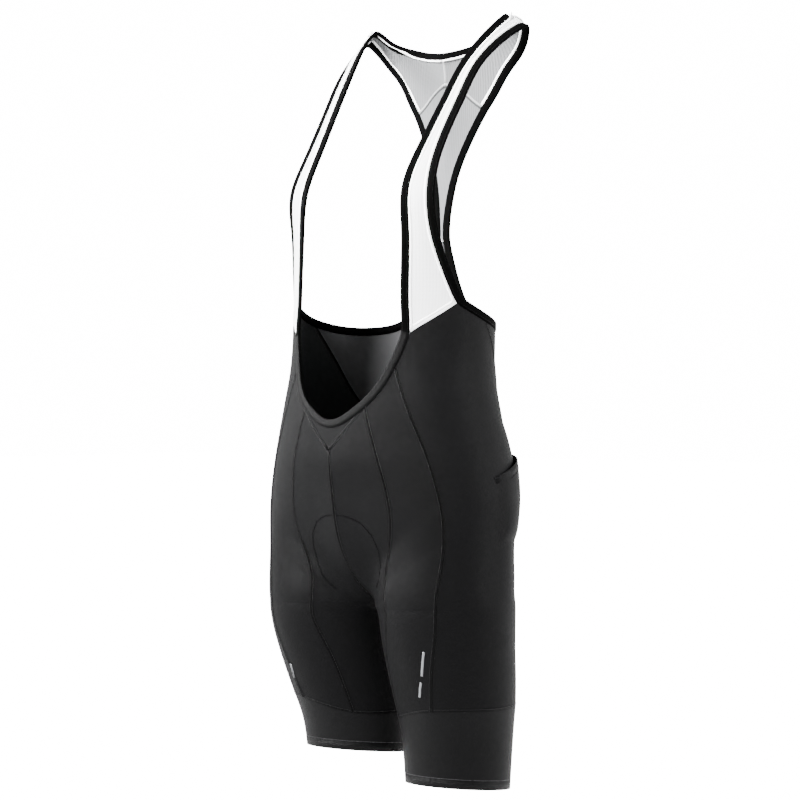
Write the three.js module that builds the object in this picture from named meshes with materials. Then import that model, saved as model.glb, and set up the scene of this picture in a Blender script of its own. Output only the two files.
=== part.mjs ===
// Cycling bib shorts as they stand on a wearer, with no wearer in them.
// Millimetres, +Z up. The front faces -Y and the wearer's left side is +X.
// The origin is midway between the tops of the two shoulder straps, where the shoulders carry them.
import * as THREE from 'three';

// Driving sizes.
const CLOTH = 1.5; // wall of the knitted panels
const SEAM = 0.16; // each sewn edge stands back this far, so neighbours are about 0.3 apart
const TAPE_WIDTH = 7.4; // elastic tape along the neckline and the armholes
const TAPE_LAP = 5.4; // how far inside the strap table's edges the straps are sewn to the tape
const TAPE_GAP = 0.35; // from the line of the sewn edge to the tape
const TAPE_PROUD = 0.35; // how far the tape stands out beyond the cloth, on both faces
const CROWN = 1.5; // how far a strap bows out across its width
const PAD_GAP = 2.3; // between the seat pad and the cloth it is sewn to
const PAD = { middle: 7, rim: 2.5 };
const POCKET = { wall: 1.2, gap: 1.5, fullness: 2.4 };
const CROTCH_ARCH = { width: 8, height: 18 }; // how fast the legs part below the crotch
const TUCK_REACH = 0.6; // how far from the centre lines the cloth tucks under, as a sine

// The figure that fills the shorts. front and back are depths from TORSO_MIDDLE, which is a Y,
// and square is how much the front is filled out towards the hips.
const TORSO_MIDDLE = -92;
const HIP_TOP = -560; // where the trunk starts to part into two legs
const CROTCH = -672;
const TORSO = [
  { z: -250, half: 128, front: 86, back: 92, square: 0 },
  { z: -300, half: 129, front: 88, back: 94, square: 0 },
  { z: -340, half: 130, front: 91, back: 97, square: 0 },
  { z: -370, half: 130, front: 93, back: 97, square: 0 },
  { z: -406, half: 131, front: 99, back: 94, square: 0 },
  { z: -440, half: 137, front: 105, back: 94, square: 0 },
  { z: -474, half: 145, front: 108, back: 102, square: 0 },
  { z: -509, half: 154, front: 108, back: 110, square: 0.02 },
  { z: -554, half: 162, front: 99, back: 106, square: 0.16 },
  { z: -600, half: 162, front: 94, back: 92, square: 0.25 },
  { z: -640, half: 160, front: 90, back: 90, square: 0.22 },
  { z: -690, half: 158, front: 86, back: 86, square: 0.18 },
];
// Legs: out is the middle of the leg from the centre plane, y its depth and r its radius.
const LEG = [
  { z: -540, out: 81, y: -96, r: 81 },
  { z: -672, out: 81, y: -96, r: 81 },
  { z: -725, out: 80, y: -88, r: 76.5 },
  { z: -770, out: 78, y: -75.5, r: 71.8 },
  { z: -816, out: 75, y: -65.5, r: 64.8 },
  { z: -890, out: 74, y: -63, r: 59.5 },
];

// Edges drawn on the figure: round is 0 at the centre front, 0.5 at the side and 1 at the centre back.
// On a leg round is 0 at the inseam, 0.25 at the front and 0.75 at the back.
const NECKLINE = [
  { round: 0, z: -470.5 }, { round: 0.029, z: -468.4 }, { round: 0.076, z: -456.5 },
  { round: 0.115, z: -444.3 }, { round: 0.1645, z: -420 }, { round: 0.194, z: -397 },
  { round: 0.2116, z: -380 }, { round: 0.2246, z: -363.5 },
];
const ARMHOLE = [
  { round: 0.38, z: -332 }, { round: 0.46, z: -344 }, { round: 0.556, z: -354 },
  { round: 0.672, z: -361 }, { round: 0.78, z: -361 }, { round: 0.854, z: -355 },
  { round: 0.926, z: -333 }, { round: 0.963, z: -302 }, { round: 0.9938, z: -253 },
];
const PRINCESS = [
  { z: -448, round: 0.103 }, { z: -508, round: 0.133 }, { z: -552, round: 0.146 },
  { z: -594, round: 0.156 }, { z: -633, round: 0.172 }, { z: -666, round: 0.197 },
  { z: -691, round: 0.192 }, { z: -725, round: 0.162 }, { z: -805, round: 0.142 },
];
const SIDE_FRONT = [
  { z: -401, round: 0.187 }, { z: -456, round: 0.23 }, { z: -487, round: 0.254 },
  { z: -514, round: 0.27 }, { z: -544, round: 0.282 }, { z: -580, round: 0.301 },
  { z: -606, round: 0.32 }, { z: -632, round: 0.332 }, { z: -696, round: 0.334 },
  { z: -730, round: 0.32 }, { z: -778, round: 0.298 }, { z: -805, round: 0.292 },
];
const BACK_V = [
  { round: 0.535, z: -352 }, { round: 0.625, z: -392 }, { round: 0.722, z: -440 },
  { round: 0.86, z: -486 }, { round: 1, z: -520 },
];
const CUFF_TOP = [
  { round: 0, z: -801 }, { round: 0.142, z: -799 }, { round: 0.283, z: -785 },
  { round: 0.5, z: -785 }, { round: 0.85, z: -786 }, { round: 1, z: -801 },
];
const POCKET_MOUTH = [
  { round: 0.47, z: -526 }, { round: 0.66, z: -507 }, { round: 1, z: -495 },
];
const PRINCESS_TOP = 0.103;
const PRINCESS_TOP_Z = -448;
const SIDE_FRONT_TOP = 0.187;
const STRAP_INNER = 0.2246;
const STRAP_OUTER = 0.38;
const BACK_V_TOP = 0.535;
const COLUMN_FOOT = { round: 0.9938, z: -253 }; // the corner between the armhole and the mesh column
const INSERT_TIP = -496;
const CUFF_LEVEL = -795; // where the seams of the legs are read for the cuffs
const WAIST = -520; // the lowest point of the V at the back, where all panels share a level row
const POCKET_FOOT = -602;
const HEM = { left: -877, right: -848 };
const HEM_TILT = 6; // the hem is this much higher in front and lower behind
const LEFT = 1;
const RIGHT = -1;

// Straps and yoke: pairs of points on the neck side and the arm side, for the wearer's left.
const STRAP = [
  { neck: [78, -166, -366], arm: [125, -123, -329] },
  { neck: [77, -164, -310], arm: [113, -136, -286] },
  { neck: [76, -162, -255], arm: [106, -145, -248] },
  { neck: [73, -161, -205], arm: [106, -150, -205] },
  { neck: [75, -133, -157], arm: [101, -127, -157] },
  { neck: [80, -96, -99], arm: [103, -90, -99] },
  { neck: [84, -64, -52], arm: [106, -59, -52] },
  { neck: [101, -6, 5], arm: [119, 9, -8] },
  { neck: [88, 7, -10], arm: [100, 23, -37] },
  { neck: [69, 13, -19], arm: [75, 21, -61] },
  { neck: [48, 13, -25], arm: [48, 16, -97] },
  { neck: [24, 7, -31], arm: [26, 13, -79] },
  { neck: [0, 1, -34], arm: [0, 6, -66] },
];
const SHOULDER = 7; // the row of STRAP at the top of the shoulder
const YOKE_CORNER = 10; // the row where the arm edge meets the seam above the back column
// The mesh column down the back: half its width, its Y and its height.
const COLUMN = [
  { half: 2.6, y: 0, z: -253 }, { half: 3.5, y: 0, z: -229 }, { half: 6.5, y: 2, z: -205 },
  { half: 10.5, y: 4, z: -182 }, { half: 16.5, y: 7, z: -158 }, { half: 24.5, y: 10, z: -134 },
  { half: 34, y: 12.5, z: -110 },
];
const COLUMN_TOP = COLUMN[COLUMN.length - 1];
const COLUMN_ARCH_START = 0.45; // share of the column's height where its rows start to arch

const mix = (a, b, t) => a + (b - a) * t;
const clamp = (t, low, high) => Math.min(Math.max(t, low), high);
const ease = (t) => clamp(t, 0, 1) ** 2 * (3 - 2 * clamp(t, 0, 1));

// Smooth value of a column of a table at a place along its key column.
function at(table, key, place, column) {
  const down = table[0][key] > table[table.length - 1][key];
  const rows = down ? [...table].reverse() : table;
  const last = rows.length - 1;
  const x = clamp(place, rows[0][key], rows[last][key]);
  let k = 0;
  while (k < last - 1 && x > rows[k + 1][key]) k += 1;
  const slope = (a, b) => (rows[b][column] - rows[a][column]) / (rows[b][key] - rows[a][key]);
  const span = rows[k + 1][key] - rows[k][key];
  const t = (x - rows[k][key]) / span;
  const start = k > 0 ? slope(k - 1, k + 1) : slope(k, k + 1);
  const end = k + 1 < last ? slope(k, k + 2) : slope(k, k + 1);
  return (2 * t ** 3 - 3 * t ** 2 + 1) * rows[k][column] + (t ** 3 - 2 * t ** 2 + t) * span * start
    + (3 * t ** 2 - 2 * t ** 3) * rows[k + 1][column] + (t ** 3 - t ** 2) * span * end;
}

// A point on the outside of one half of the shorts.
function bodyPoint(side, round, z) {
  const legAngle = 2 * Math.PI * round;
  const level = Math.min(z, CROTCH);
  const out = at(LEG, 'z', level, 'out');
  const r = at(LEG, 'z', level, 'r');
  const below = clamp((CROTCH - z) / CROTCH_ARCH.height, 0, 1);
  const arch = CROTCH_ARCH.width * Math.sqrt(1 - (1 - below) ** 2);
  const inward = Math.cos(legAngle);
  const legX = out - inward * (inward > 0 ? Math.min(r, out - arch) : r);
  const legY = at(LEG, 'z', z, 'y') - r * Math.sin(legAngle);
  if (z <= CROTCH) return new THREE.Vector3(side * legX, legY, z);
  const angle = Math.PI * round;
  const depth = Math.cos(angle) > 0 ? at(TORSO, 'z', z, 'front') : at(TORSO, 'z', z, 'back');
  const trunkX = at(TORSO, 'z', z, 'half') * Math.sin(angle);
  const square = at(TORSO, 'z', z, 'square') * Math.sin(angle) ** 2 * Math.max(Math.cos(angle), 0);
  const trunkY = TORSO_MIDDLE - depth * (Math.cos(angle) + square);
  const part = clamp((HIP_TOP - z) / (HIP_TOP - CROTCH), 0, 1);
  const tucked = 1 - Math.sqrt(1 - part ** 2); // under the crotch the cloth turns level
  const sideward = ease(Math.abs(Math.sin(angle)) / TUCK_REACH);
  const toLeg = mix(tucked, ease(part), sideward);
  return new THREE.Vector3(side * mix(trunkX, legX, toLeg), mix(trunkY, legY, toLeg), z);
}
// The outward normal. Between hip and crotch it is taken a little way off the centre lines, where it
// is then turned into the centre plane.
function bodyNormal(side, round, z) {
  const onCentre = z >= CROTCH && (round === 0 || round === 1);
  if (onCentre && z === CROTCH) return new THREE.Vector3(0, 0, -1);
  const parting = z < HIP_TOP && z > CROTCH - 3;
  const r = parting ? clamp(round, 0.012, 0.988) : round;
  const level = parting && z < CROTCH + 3 ? CROTCH + 3 : z;
  const across = bodyPoint(side, r + 0.004, level).sub(bodyPoint(side, r - 0.004, level));
  const down = bodyPoint(side, r, level - 1).sub(bodyPoint(side, r, level + 1));
  const n = across.cross(down).multiplyScalar(-side);
  if (onCentre) n.setX(0);
  return n.normalize();
}
// A knot is a point of cloth: p on the outside, n its outward normal, wall its thickness.
function bodyKnot(side, round, z, lift = 0, wall = CLOTH) {
  let half = side;
  let r = round;
  if (z > CROTCH && r < 0) {
    half = -side;
    r = -round;
  }
  if (z > CROTCH && r > 1) {
    half = -side;
    r = 2 - round;
  }
  const n = bodyNormal(half, r, z);
  return { p: bodyPoint(half, r, z).addScaledVector(n, lift), n, wall };
}
function mirrored(knot) {
  const flip = (v) => new THREE.Vector3(-v.x, v.y, v.z);
  return { p: flip(knot.p), n: flip(knot.n), wall: knot.wall };
}

const MATERIALS = {
  lycra: new THREE.MeshStandardMaterial({ color: 0x1c1d1f, roughness: 0.7, metalness: 0 }),
  cuff: new THREE.MeshStandardMaterial({ color: 0x26272a, roughness: 0.6, metalness: 0 }),
  mesh: new THREE.MeshStandardMaterial({ color: 0xf0f1f2, roughness: 0.8, metalness: 0 }),
  tape: new THREE.MeshStandardMaterial({ color: 0x0b0b0c, roughness: 0.6, metalness: 0 }),
  pad: new THREE.MeshStandardMaterial({ color: 0x2c2e33, roughness: 0.9, metalness: 0 }),
};
const group = new THREE.Group();

function addMesh(name, material, points, faces) {
  const geometry = new THREE.BufferGeometry();
  const places = points.flatMap((p) => p.toArray());
  geometry.setAttribute('position', new THREE.Float32BufferAttribute(places, 3));
  geometry.setIndex(faces.flat());
  geometry.computeVertexNormals();
  const mesh = new THREE.Mesh(geometry, MATERIALS[material]);
  mesh.name = name;
  group.add(mesh);
}

// Sews grids of knots into one sheet, stands its free edges back by the seam and gives it its wall.
function addSheet(name, material, grids, inset = SEAM) {
  const knots = [];
  const places = new Map();
  const place = (knot) => {
    const key = knot.p.toArray().map((v) => Math.round(v * 500)).join();
    if (!places.has(key)) {
      places.set(key, knots.length);
      knots.push(knot);
    }
    return places.get(key);
  };
  const quads = [];
  for (const grid of grids) {
    let facing = 0;
    const patch = [];
    for (let i = 0; i + 1 < grid.length; i += 1) {
      for (let j = 0; j + 1 < grid[i].length; j += 1) {
        const [a, b, c, d] = [grid[i][j], grid[i][j + 1], grid[i + 1][j + 1], grid[i + 1][j]];
        facing += c.p.clone().sub(a.p).cross(d.p.clone().sub(b.p)).dot(a.n.clone().add(c.n));
        patch.push([a, b, c, d].map(place));
      }
    }
    for (const quad of patch) quads.push([...new Set(facing > 0 ? quad : quad.reverse())]);
  }
  const directed = new Set();
  const edgesOf = (quad) => quad.map((a, k) => [a, quad[(k + 1) % quad.length]]);
  for (const quad of quads) for (const [a, b] of edgesOf(quad)) directed.add(`${a} ${b}`);
  const rim = quads.flatMap(edgesOf).filter(([a, b]) => !directed.has(`${b} ${a}`));
  const inward = knots.map(() => []);
  for (const [a, b] of rim) {
    const along = knots[b].p.clone().sub(knots[a].p).normalize();
    for (const k of [a, b]) inward[k].push(knots[k].n.clone().cross(along).normalize());
  }
  const outside = knots.map(({ p }, k) => {
    if (inward[k].length < 2) return p.clone();
    const [e, f] = inward[k];
    return p.clone().addScaledVector(e.clone().add(f), inset / Math.max(1 + e.dot(f), 0.4));
  });
  const inside = outside.map((p, k) => p.clone().addScaledVector(knots[k].n, -knots[k].wall));
  const count = knots.length;
  const faces = [];
  const addFace = (loop) => {
    for (let k = 1; k + 1 < loop.length; k += 1) faces.push([loop[0], loop[k], loop[k + 1]]);
  };
  for (const quad of quads) {
    addFace(quad);
    addFace(quad.map((k) => k + count).reverse());
  }
  for (const [a, b] of rim) addFace([b, a, a + count, b + count]);
  addMesh(name, material, [...outside, ...inside], faces);
}

// A closed ribbon sewn along a loop of knots. It reaches out of the cloth, to the side that outward gives.
function addTape(name, loop, turn) {
  const count = loop.length;
  const corners = [];
  const faces = [];
  const near = (k) => loop[(k + count) % count];
  for (let k = 0; k < count; k += 1) {
    const along = near(k + 1).p.clone().sub(near(k - 1).p).normalize();
    const n = near(k - 1).n.clone().add(near(k).n).add(near(k + 1).n).normalize();
    const out = along.clone().cross(n).multiplyScalar(turn).normalize();
    const top = TAPE_PROUD;
    const bottom = -CLOTH - TAPE_PROUD;
    const section = [[TAPE_GAP, top], [TAPE_WIDTH, top], [TAPE_WIDTH, bottom], [TAPE_GAP, bottom]];
    for (const [reach, height] of section) {
      corners.push(near(k).p.clone().addScaledVector(out, reach).addScaledVector(n, height));
    }
  }
  for (let k = 0; k < count; k += 1) {
    const next = (k + 1) % count;
    for (let c = 0; c < 4; c += 1) {
      const d = (c + 1) % 4;
      const quad = [4 * k + c, 4 * next + c, 4 * next + d, 4 * k + d];
      if (turn > 0) quad.reverse();
      faces.push([quad[0], quad[1], quad[2]], [quad[0], quad[2], quad[3]]);
    }
  }
  addMesh(name, 'tape', corners, faces);
}

function steps(count, from = 0, to = 1) {
  return Array.from({ length: count + 1 }, (_, k) => mix(from, to, k / count));
}
// Points along an edge table, from one place of its key column to another.
function trace(table, key, from, to, count) {
  return steps(count, from, to).map((place) => ({
    round: key === 'round' ? place : at(table, key, place, 'round'),
    z: key === 'z' ? place : at(table, key, place, 'z'),
  }));
}
// Fills a patch of the figure between four traced edges.
function fill(side, top, bottom, start, end) {
  const down = start.length - 1;
  const across = top.length - 1;
  return start.map((first, i) => top.map((upper, j) => {
    const v = i / down;
    const s = j / across;
    const value = (axis) => mix(first[axis], end[i][axis], s) + mix(upper[axis], bottom[j][axis], v)
      - mix(mix(top[0][axis], top[across][axis], s), mix(bottom[0][axis], bottom[across][axis], s), v);
    return bodyKnot(side, value('round'), value('z'));
  }));
}

// Levels shared by all panels between the waist row and the crotch, and shares of the leg below it.
const HIP_LEVELS = [WAIST, -540, ...steps(8).map((t) => mix(HIP_TOP, CROTCH, Math.sin(t * Math.PI / 2)))];
const LEG_SHARES = [0, 0.04, 0.12, 0.25, 0.45, 0.72, 1];
const UPPER_ROWS = 13;
const ARMHOLE_STEPS = UPPER_ROWS - 1; // the back panel's armhole edge, whose last step is the column's foot

// The part of a panel below the waist row, between two seams given as functions of the height.
function lowerPanel(side, columns, startRound, endRound) {
  const roundAt = (z, share) => mix(startRound(z), endRound(z), share);
  const hip = HIP_LEVELS.map((z) => columns.map((share) => bodyKnot(side, roundAt(z, share), z)));
  const leg = LEG_SHARES.map((drop) => columns.map((share) => {
    const round = roundAt(mix(CROTCH, CUFF_LEVEL, drop), share);
    return bodyKnot(side, round, mix(CROTCH, at(CUFF_TOP, 'round', round, 'z'), drop));
  }));
  return [hip, leg];
}
const princess = (z) => at(PRINCESS, 'z', z, 'round');
const sideFront = (z) => at(SIDE_FRONT, 'z', z, 'round');
const centre = () => 0;
const inseam = () => 1;
const level = (rounds) => rounds.map((round) => ({ round, z: WAIST }));
const across = (from, to, shares) => shares.map((share) => mix(from, to, share));

// Front insert and the two panels beside it. The insert's sides are straight lines to its tip.
const INSERT_ROWS = 5;
const INSERT_FOOT = 0.025; // share of the insert's side where its tip is cut off
const insertSide = (share) => ({
  round: mix(0, PRINCESS_TOP, share), z: mix(INSERT_TIP, PRINCESS_TOP_Z, share),
});
const insertTop = trace(NECKLINE, 'round', -PRINCESS_TOP, PRINCESS_TOP, 8)
  .map(({ round }) => ({ round, z: at(NECKLINE, 'round', Math.abs(round), 'z') }));
insertTop[0].z = PRINCESS_TOP_Z;
insertTop[8].z = PRINCESS_TOP_Z;
const insertRight = steps(INSERT_ROWS).map((t) => insertSide(mix(1, INSERT_FOOT, t)));
const insertLeft = insertRight.map(({ round, z }) => ({ round: -round, z }));
const insertEnd = insertRight[INSERT_ROWS];
const insertFoot = steps(8, -1, 1).map((t) => ({ round: t * insertEnd.round, z: insertEnd.z }));
addSheet('front_insert', 'lycra', [fill(LEFT, insertTop, insertFoot, insertLeft, insertRight)]);

const CENTRE_COLUMNS = steps(5);
const SIDE_COLUMNS = steps(5);
const neckSide = trace(NECKLINE, 'round', PRINCESS_TOP, SIDE_FRONT_TOP, 5);
neckSide[0].z = PRINCESS_TOP_Z;
const princessUpper = trace(PRINCESS, 'z', PRINCESS_TOP_Z, WAIST, UPPER_ROWS);
const sideFrontUpper = trace(SIDE_FRONT, 'z', SIDE_FRONT[0].z, WAIST, UPPER_ROWS);
const centreUpper = steps(UPPER_ROWS, INSERT_TIP, WAIST).map((z) => ({ round: 0, z }));
// Side-back panel: its top runs along the neckline, the strap and the armhole.
const neckBack = trace(NECKLINE, 'round', SIDE_FRONT_TOP, STRAP_INNER, 3);
const strapFoot = steps(4).map((t) => ({
  round: mix(STRAP_INNER, STRAP_OUTER, t), z: mix(NECKLINE[NECKLINE.length - 1].z, ARMHOLE[0].z, t),
}));
const armSide = trace(ARMHOLE, 'round', STRAP_OUTER, BACK_V_TOP, 7);
sideFrontUpper[0].z = neckSide[5].z;
princessUpper[0].z = neckSide[0].z;
const backVUpper = trace(BACK_V, 'round', BACK_V_TOP, 1, UPPER_ROWS);
backVUpper[0].z = armSide[7].z;
const sideBackTop = [...neckBack, ...strapFoot.slice(1), ...armSide.slice(1)];
const BACK_SHARES = [0, 0.06, 0.12, 0.18, 0.25, 0.32, 0.39, 0.46, 0.54, 0.62, 0.7, 0.78, 0.855, 0.93, 1];

for (const side of [LEFT, RIGHT]) {
  const suffix = side === LEFT ? 'left' : 'right';
  const insertEdge = CENTRE_COLUMNS.map(insertSide);
  const centreFoot = level(across(0, princess(WAIST), CENTRE_COLUMNS));
  addSheet(`front_centre_${suffix}`, 'lycra', [
    fill(side, insertEdge, centreFoot, centreUpper, princessUpper),
    ...lowerPanel(side, CENTRE_COLUMNS, centre, princess),
  ]);
  const sideFoot = level(across(princess(WAIST), sideFront(WAIST), SIDE_COLUMNS));
  addSheet(`front_side_${suffix}`, 'lycra', [
    fill(side, neckSide, sideFoot, princessUpper, sideFrontUpper),
    ...lowerPanel(side, SIDE_COLUMNS, princess, sideFront),
  ]);
  const backFoot = level(across(sideFront(WAIST), 1, BACK_SHARES));
  addSheet(`side_back_${suffix}`, 'lycra', [
    fill(side, sideBackTop, backFoot, sideFrontUpper, backVUpper),
    ...lowerPanel(side, BACK_SHARES, sideFront, inseam),
  ]);
  const cuffRounds = [
    ...across(0, princess(CUFF_LEVEL), CENTRE_COLUMNS),
    ...across(princess(CUFF_LEVEL), sideFront(CUFF_LEVEL), SIDE_COLUMNS).slice(1),
    ...across(sideFront(CUFF_LEVEL), 1, BACK_SHARES).slice(1),
  ];
  addSheet(`leg_cuff_${suffix}`, 'cuff', [steps(4).map((t) => cuffRounds.map((round) => {
    const hem = HEM[suffix] + HEM_TILT * Math.sin(2 * Math.PI * round);
    return bodyKnot(side, round, mix(at(CUFF_TOP, 'round', round, 'z'), hem, t));
  }))]);
}

// Back centre panel: two halves, each from the armhole and the foot of the mesh column to the V.
const BACK_ROWS = 8;
const backTop = trace(ARMHOLE, 'round', BACK_V_TOP, COLUMN_FOOT.round, ARMHOLE_STEPS);
const backCorner = steps(BACK_ROWS).map(() => backTop[0]);
const backMiddle = steps(BACK_ROWS, COLUMN_FOOT.z, WAIST).map((z) => ({ round: 1, z }));
addSheet('back_centre', 'lycra', [LEFT, RIGHT].map((side) => (
  fill(side, [...backTop, backMiddle[0]], backVUpper, backCorner, backMiddle)
)));

// Pocket across the small of the back, open along its top.
const pocketEdge = POCKET_MOUTH[0].round;
const pocketRows = steps(4).map((v) => steps(24, pocketEdge, 2 - pocketEdge).map((r) => {
  const round = r > 1 ? 2 - r : r;
  const inFromEdge = (round - pocketEdge) / (1 - pocketEdge);
  const loose = Math.min(inFromEdge * 4, 1) * (1 - v);
  const z = mix(at(POCKET_MOUTH, 'round', round, 'z'), POCKET_FOOT, v);
  return bodyKnot(LEFT, r, z, POCKET.gap + POCKET.wall + POCKET.fullness * loose, POCKET.wall);
}));
addSheet('back_pocket', 'lycra', [pocketRows], 0);

// Straps and yoke. Each row runs from the neck edge to the arm edge, inside the tapes.
const curveOf = (edge, from, to) => new THREE.CatmullRomCurve3(
  STRAP.slice(from, to + 1).map((row) => new THREE.Vector3(...row[edge])), false, 'centripetal');
const neckCurve = curveOf('neck', 0, STRAP.length - 1);
const armCurve = curveOf('arm', 0, STRAP.length - 1);
function strapRow(place) {
  const t = place / (STRAP.length - 1);
  const neck = neckCurve.getPoint(t);
  const arm = armCurve.getPoint(t);
  const width = arm.distanceTo(neck);
  const armLap = TAPE_LAP * clamp(YOKE_CORNER - place, 0, 1);
  return steps(4).map((s) => neck.clone().lerp(arm, mix(TAPE_LAP / width, 1 - armLap / width, s)));
}
function knotsOf(points, bow) {
  const last = points.length - 1;
  return points.map((row, i) => row.map((p, j) => {
    const along = points[Math.min(i + 1, last)][j].clone().sub(points[Math.max(i - 1, 0)][j]);
    const side = row[Math.min(j + 1, row.length - 1)].clone().sub(row[Math.max(j - 1, 0)]);
    const n = side.cross(along).normalize();
    const s = j / (row.length - 1);
    return { p: p.clone().addScaledVector(n, bow(i) * 4 * s * (1 - s)), n, wall: CLOTH };
  }));
}
const SHOULDER_ROW = 2 * SHOULDER; // the sheets have two rows for each row of STRAP
const CORNER_ROW = 2 * YOKE_CORNER;
const strapPlaces = steps(2 * (STRAP.length - 1), 0, STRAP.length - 1);
const strapPoints = strapPlaces.map(strapRow);
strapPoints[0] = strapFoot.map(({ round, z }) => bodyPoint(LEFT, round, z));
const strapKnots = knotsOf(strapPoints, (i) => (i > 0 ? CROWN : 0));
strapKnots[0].forEach((knot, j) => knot.n.copy(bodyNormal(LEFT, strapFoot[j].round, strapFoot[j].z)));
for (const knot of strapKnots[strapKnots.length - 1]) {
  knot.n.setX(0).normalize();
  knot.p.setX(0);
}
const frontStrap = strapKnots.slice(0, SHOULDER_ROW + 1);
const yoke = strapKnots.slice(SHOULDER_ROW);
const both = (grid) => ({ left: grid, right: grid.map((row) => row.map(mirrored)) });
for (const suffix of ['left', 'right']) {
  addSheet(`front_strap_${suffix}`, 'mesh', [both(frontStrap)[suffix]]);
  addSheet(`back_yoke_${suffix}`, 'mesh', [both(yoke)[suffix]]);
}

// Mesh column: from the back centre panel up to the arched seam under the yoke.
const yokeSeam = strapKnots.slice(CORNER_ROW).map((row) => row[row.length - 1]);
const archHalf = yokeSeam.map((knot) => knot.p);
const arch = [...archHalf.map((p) => p.clone().setX(-p.x)), ...[...archHalf].reverse().slice(1)];
const columnFoot = steps(arch.length - 1, 2 - COLUMN_FOOT.round, COLUMN_FOOT.round)
  .map((round) => bodyKnot(LEFT, round, COLUMN_FOOT.z));
const columnRows = steps(10).map((t) => steps(arch.length - 1, -1, 1).map((s, j) => {
  const z = mix(COLUMN_FOOT.z, COLUMN_TOP.z, t);
  const edge = new THREE.Vector3(s * at(COLUMN, 'z', z, 'half'), at(COLUMN, 'z', z, 'y'), z);
  const rise = arch[j].clone().sub(new THREE.Vector3(s * COLUMN_TOP.half, COLUMN_TOP.y, COLUMN_TOP.z));
  return edge.addScaledVector(rise, clamp((t - COLUMN_ARCH_START) / (1 - COLUMN_ARCH_START), 0, 1) ** 2);
}));
columnRows[0] = columnFoot.map((knot) => knot.p);
const turned = (grid) => grid.map((row) => [...row].reverse());
const columnKnots = turned(knotsOf(turned(columnRows), () => 0));
columnKnots[0].forEach((knot, j) => knot.n.copy(columnFoot[j].n));
columnKnots.flat().filter((knot) => knot.n.y < 0).forEach((knot) => knot.n.negate());
addSheet('back_column', 'mesh', [columnKnots]);

// Tapes. Each loop gathers the edges that it binds, in order.
const onBody = (side, edge) => edge.map(({ round, z }) => bodyKnot(side, round, z));
const leftNeck = [
  ...onBody(LEFT, insertTop.slice(4)), ...onBody(LEFT, neckSide).slice(1), ...onBody(LEFT, neckBack).slice(1),
  ...strapKnots.slice(1).map((row) => row[0]),
];
const rightNeck = leftNeck.slice(1, -1).map(mirrored).reverse();
addTape('neck_binding', [...leftNeck, ...rightNeck], -1);
const leftArm = [
  ...strapKnots.slice(0, CORNER_ROW + 1).map((row) => row[row.length - 1]),
  ...[...columnKnots].reverse().slice(1).map((row) => row[row.length - 1]),
  ...onBody(LEFT, [...backTop].reverse()).slice(1),
  ...onBody(LEFT, [...armSide].reverse()).slice(1, -1),
];
addTape('arm_binding_left', leftArm, 1);
addTape('arm_binding_right', leftArm.map(mirrored), -1);

// Seat pad: a front and a back field that join through the crotch and lap onto the inside of the legs.
function padKnot(side, round, z, rim) {
  const full = 1 - clamp(rim, 0, 1) ** 2;
  return bodyKnot(side, round, z, -(CLOTH + PAD_GAP), mix(PAD.rim, PAD.middle, full));
}
const PAD_LEVELS = HIP_LEVELS.slice(2).map((z) => Math.min(z, HIP_TOP - 8));
const PAD_DROPS = [0, 5.1, 15.2, 30]; // down the inside of each leg
const PAD_REACH = { top: 0.1, crotch: 0.055 };
const padGrids = [];
for (const side of [LEFT, RIGHT]) {
  for (const turn of [(r) => r, (r) => 1 - r]) {
    padGrids.push(PAD_LEVELS.map((z, i) => steps(5).map((s) => {
      const t = i / (PAD_LEVELS.length - 1);
      const rounding = Math.sqrt(1 - 0.7 * clamp(1 - t * 2.6, 0, 1) ** 2);
      const reach = mix(PAD_REACH.top, PAD_REACH.crotch, t) * rounding;
      return padKnot(side, turn(s * reach), z, Math.max(s, 1 - t * 2.6));
    })));
  }
  padGrids.push(PAD_DROPS.map((drop, i) => steps(10, -1, 1).map((s) => {
    const t = i / (PAD_DROPS.length - 1);
    const round = (s * PAD_REACH.crotch * Math.sqrt(1 - 0.6 * t ** 2) + 1) % 1;
    return padKnot(side, round, CROTCH - drop, Math.max(Math.abs(s), t));
  })));
}
addSheet('seat_pad', 'pad', padGrids, 0);

export default group;
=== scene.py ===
# %% [markdown]
# # Cycling bib shorts
# A pair of bib shorts is a set of knitted panels sewn edge to edge, held up by two mesh straps
# that run over the shoulders into a narrow mesh back. The frame below brings in the solid pieces
# in metres. Each cloth piece is then dressed: its solid is copied, smoothed, creased and given
# a knitted finish. Seams, stitches, tapes and the seat pad follow.

# %% Load the frame
import math
import bpy
import bmesh
from mathutils import Matrix, Vector, kdtree
from mathutils.bvhtree import BVHTree


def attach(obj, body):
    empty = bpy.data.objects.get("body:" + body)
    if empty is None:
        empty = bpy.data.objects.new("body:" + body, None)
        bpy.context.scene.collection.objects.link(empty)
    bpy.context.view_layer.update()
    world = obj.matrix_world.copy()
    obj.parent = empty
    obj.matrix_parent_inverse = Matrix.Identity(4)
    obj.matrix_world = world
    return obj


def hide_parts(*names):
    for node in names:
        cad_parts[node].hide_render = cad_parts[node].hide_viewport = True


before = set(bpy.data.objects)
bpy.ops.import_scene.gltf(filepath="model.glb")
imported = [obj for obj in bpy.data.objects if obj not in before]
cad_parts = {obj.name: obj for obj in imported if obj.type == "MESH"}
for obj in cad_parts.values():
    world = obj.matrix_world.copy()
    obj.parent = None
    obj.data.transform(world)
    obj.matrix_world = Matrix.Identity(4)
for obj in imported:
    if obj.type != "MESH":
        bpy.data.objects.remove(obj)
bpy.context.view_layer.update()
print("solids:", len(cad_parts))

WALL = 0.0015  # how thick the solids' cloth is

# %% [markdown]
# ## Camera, floor and light
# The photograph looks level at the middle of the garment, from 40 degrees towards the wearer's
# left, through a long lens. The floor lies where the wearer would stand, far below the hems, so
# only its pale surface shows. Large lamps give the soft light of a studio.

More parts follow.
